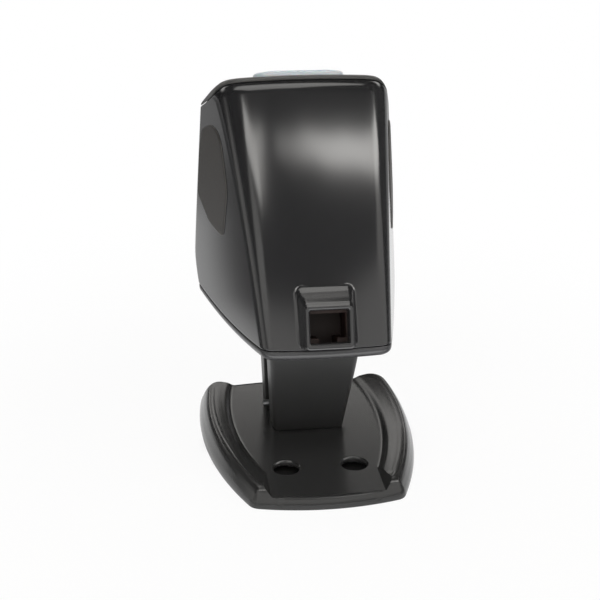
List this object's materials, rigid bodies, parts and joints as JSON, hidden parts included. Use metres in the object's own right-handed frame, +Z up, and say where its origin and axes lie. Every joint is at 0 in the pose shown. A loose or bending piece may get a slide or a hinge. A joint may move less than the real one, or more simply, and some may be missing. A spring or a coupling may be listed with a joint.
{
  "type": "presentation barcode scanner",
  "caption": "Wedge-shaped reading head with a rear cable port, a top button and a dark window, tilting on a leaning neck over a rimmed desk base.",
  "frame": {"origin": "on the desk, under the middle of the whole outline, between the undersides of the rubber feet", "axes": "+Z up; -Y the way the reading window looks; +Y the side with the cable port; +X to the left hand of a person who faces the port"},
  "size_m": [0.0744, 0.0971, 0.1257],
  "materials": {
    "housing": "satin metallic dark grey",
    "cover": "fine satin charcoal",
    "tray": "fine satin grey",
    "grip": "fine moulded grain",
    "base": "fine satin grey",
    "neck": "fine satin grey",
    "spine": "black coated casting",
    "steel": "zinc plated sheet",
    "fastener": "zinc plated",
    "washer": "natural acetal",
    "feet": "matt",
    "bezel": "gloss black",
    "window": "dark red tinted",
    "gasket": "matt",
    "chassis": "glass filled black",
    "board": "solder resist green",
    "socket": "dark moulded",
    "barrel": "matt black",
    "lens": "clear",
    "leds": "clear domed",
    "switch": "moulded",
    "buzzer": "matt black",
    "button": "translucent pale"
  },
  "bodies": {
    "stand": {"base_shell": "base", "base_plate": "steel", "rubber_feet": "feet", "plate_screws": "fastener", "neck_spine": "spine", "neck_rear_cover": "neck", "neck_front_cover": "neck", "neck_cross_pin": "fastener"},
    "head": {"back_shell": "housing", "top_cover": "cover", "bottom_tray": "tray", "left_grip": "grip", "right_grip": "grip", "hinge_bracket": "steel", "case_screws": "fastener", "tilt_axle": "fastener", "axle_nut": "fastener", "friction_washers": "washer", "front_bezel": "bezel", "front_window": "window", "window_gasket": "gasket", "chassis": "chassis", "main_board": "board", "jack_board": "board", "imager_board": "board", "led_board": "board", "button_board": "board", "modular_jack": "socket", "lens_barrel": "barrel", "lens": "lens", "leds": "leds", "tact_switch": "switch", "buzzer": "buzzer"},
    "button": {"top_button": "button"}
  },
  "joints": [
    {"name": "head_tilt", "type": "hinge", "parent": "stand", "child": "head", "pos_m": [0, 0.0073, 0.056], "axis": [1, 0, 0], "range_deg": [-25, 5]},
    {"name": "button_press", "type": "slide", "parent": "head", "child": "button", "axis": [0, 0.3502, -0.9367], "range_m": [0, 0.0008], "stiffness_N_per_m": 1500, "springref_m": -0.0004}
  ]
}
